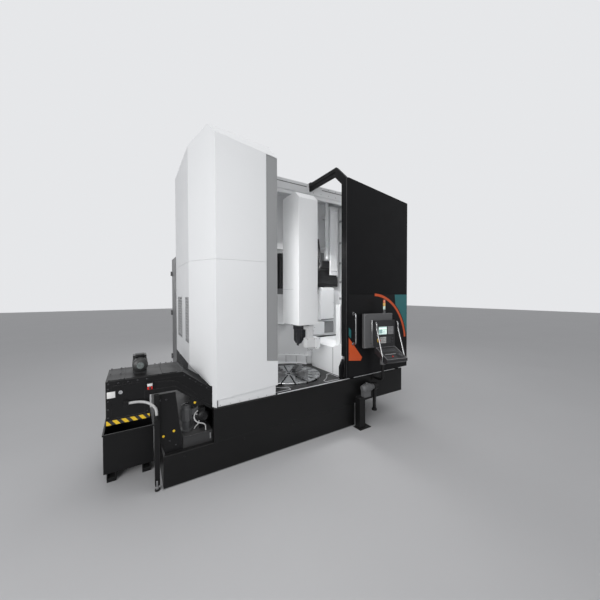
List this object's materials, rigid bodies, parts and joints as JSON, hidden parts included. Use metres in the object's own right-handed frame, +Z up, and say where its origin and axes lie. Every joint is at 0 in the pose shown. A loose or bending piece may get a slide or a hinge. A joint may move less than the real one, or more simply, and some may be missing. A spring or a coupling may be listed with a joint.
{
  "type": "vertical lathe",
  "caption": "Vertical lathe with a T-slotted turntable, a ram in a tall cover, a sliding door, an operator's pendant and a swan-neck chip conveyor.",
  "frame": {"origin": "on the floor, on the axis of the turntable", "axes": "+X to the right along the front, +Y into the machine, +Z up"},
  "size_m": [4.44, 2.6862, 4.0523],
  "materials": {
    "base_black": "satin",
    "cover_white": "satin",
    "wall_white": "satin",
    "strip_grey": "satin",
    "door_black": "satin",
    "cast_grey": "as cast",
    "slide_black": "satin",
    "table_steel": "turned",
    "jaw_steel": "blackened",
    "tool_steel": "blackened",
    "chrome": "polished",
    "conveyor_black": "satin",
    "motor_grey": "satin",
    "panel_dark": "fine texture",
    "panel_grey": "satin",
    "button_red": "gloss",
    "light_clear": "gloss",
    "chain_plastic": "matte",
    "hose_silver": "ribbed",
    "nozzle_grey": "satin"
  },
  "bodies": {
    "machine": {"lower_base": "base_black", "upper_base": "base_black", "work_floor": "base_black", "table_bearing": "table_steel", "cover_lower": "cover_white", "cover_upper": "cover_white", "corner_strip": "strip_grey", "vent_louvres": "strip_grey", "cover_plinth": "cover_white", "door_rails": "wall_white", "rear_roof": "wall_white", "back_wall": "wall_white", "wall_services": "wall_white", "magazine_covers": "cover_white", "guard_ring": "wall_white", "guard_right": "cover_white", "foot_block": "door_black", "right_housing": "wall_white", "column": "cast_grey", "crossrail": "slide_black", "pump_stand": "base_black", "pump_body": "cast_grey", "pump_head": "base_black", "pendant_arm": "base_black", "conveyor_trough": "conveyor_black", "conveyor_motor": "motor_grey", "conveyor_stand": "conveyor_black", "chip_bin": "conveyor_black", "coolant_tank": "motor_grey", "coolant_pump": "motor_grey", "filter_motor": "conveyor_black", "electrical_cabinet": "panel_grey", "conduit": "hose_silver", "coolant_hose": "hose_silver"},
    "turntable": {"turntable": "table_steel"},
    "saddle": {"saddle": "slide_black", "ram_housing": "cast_grey", "ram_cover": "cover_white", "cable_chain": "chain_plastic"},
    "ram": {"ram": "cast_grey", "tool_holder": "tool_steel", "cutting_tool": "tool_steel", "nozzle_block": "nozzle_grey", "nozzle_guard": "cover_white"},
    "door": {"door_frame": "door_black", "door_panel": "door_black", "door_handle": "chrome"},
    "pendant": {"pendant_housing": "panel_grey", "pendant_screen": "panel_dark", "pendant_shelf": "panel_dark", "pendant_rails": "chrome", "stack_light": "light_clear"},
    "estop": {"estop_button": "button_red"},
    "cabinet_door": {"cabinet_door": "panel_grey"},
    "cabinet_handle": {"cabinet_handle": "chrome"},
    "conveyor_drum": {"conveyor_drum": "table_steel"},
    "jaw_1": {"jaw_1": "jaw_steel"},
    "jaw_2": {"jaw_2": "jaw_steel"},
    "jaw_3": {"jaw_3": "jaw_steel"},
    "jaw_4": {"jaw_4": "jaw_steel"}
  },
  "joints": [
    {"name": "table_spin", "type": "hinge", "parent": "machine", "child": "turntable", "pos_m": [0, 0, 0.7], "axis": [0, 0, 1], "continuous": true},
    {"name": "saddle_slide", "type": "slide", "parent": "machine", "child": "saddle", "axis": [1, 0, 0], "range_m": [-0.45, 0.15]},
    {"name": "ram_slide", "type": "slide", "parent": "saddle", "child": "ram", "axis": [0, 0, 1], "range_m": [-0.28, 0]},
    {"name": "door_slide", "type": "slide", "parent": "machine", "child": "door", "axis": [1, 0, 0], "range_m": [-1.132, 0]},
    {"name": "pendant_swivel", "type": "hinge", "parent": "machine", "child": "pendant", "pos_m": [1.226, -0.84, 1.1], "axis": [0, 0, 1], "range_deg": [-4, 40]},
    {"name": "estop_press", "type": "slide", "parent": "pendant", "child": "estop", "axis": [0.1736, 0.9848, 0], "range_m": [0, 0.006], "stiffness_N_per_m": 2000},
    {"name": "cabinet_door_hinge", "type": "hinge", "parent": "machine", "child": "cabinet_door", "pos_m": [-1.551, 1.412, 1.6], "axis": [0, 0, 1], "range_deg": [0, 110]},
    {"name": "cabinet_handle_turn", "type": "hinge", "parent": "cabinet_door", "child": "cabinet_handle", "pos_m": [-0.62, 1.41, 1.6], "axis": [0, 1, 0], "range_deg": [0, 90]},
    {"name": "drum_spin", "type": "hinge", "parent": "machine", "child": "conveyor_drum", "pos_m": [-2.235, -0.33, 1.085], "axis": [0, 1, 0], "continuous": true},
    {"name": "jaw_1_slide", "type": "slide", "parent": "turntable", "child": "jaw_1", "axis": [0.8988, 0.4384, 0], "range_m": [-0.06, 0.14]},
    {"name": "jaw_2_slide", "type": "slide", "parent": "turntable", "child": "jaw_2", "axis": [-0.4384, 0.8988, 0], "range_m": [-0.06, 0.14]},
    {"name": "jaw_3_slide", "type": "slide", "parent": "turntable", "child": "jaw_3", "axis": [-0.8988, -0.4384, 0], "range_m": [-0.06, 0.14]},
    {"name": "jaw_4_slide", "type": "slide", "parent": "turntable", "child": "jaw_4", "axis": [0.4384, -0.8988, 0], "range_m": [-0.06, 0.14]}
  ]
}
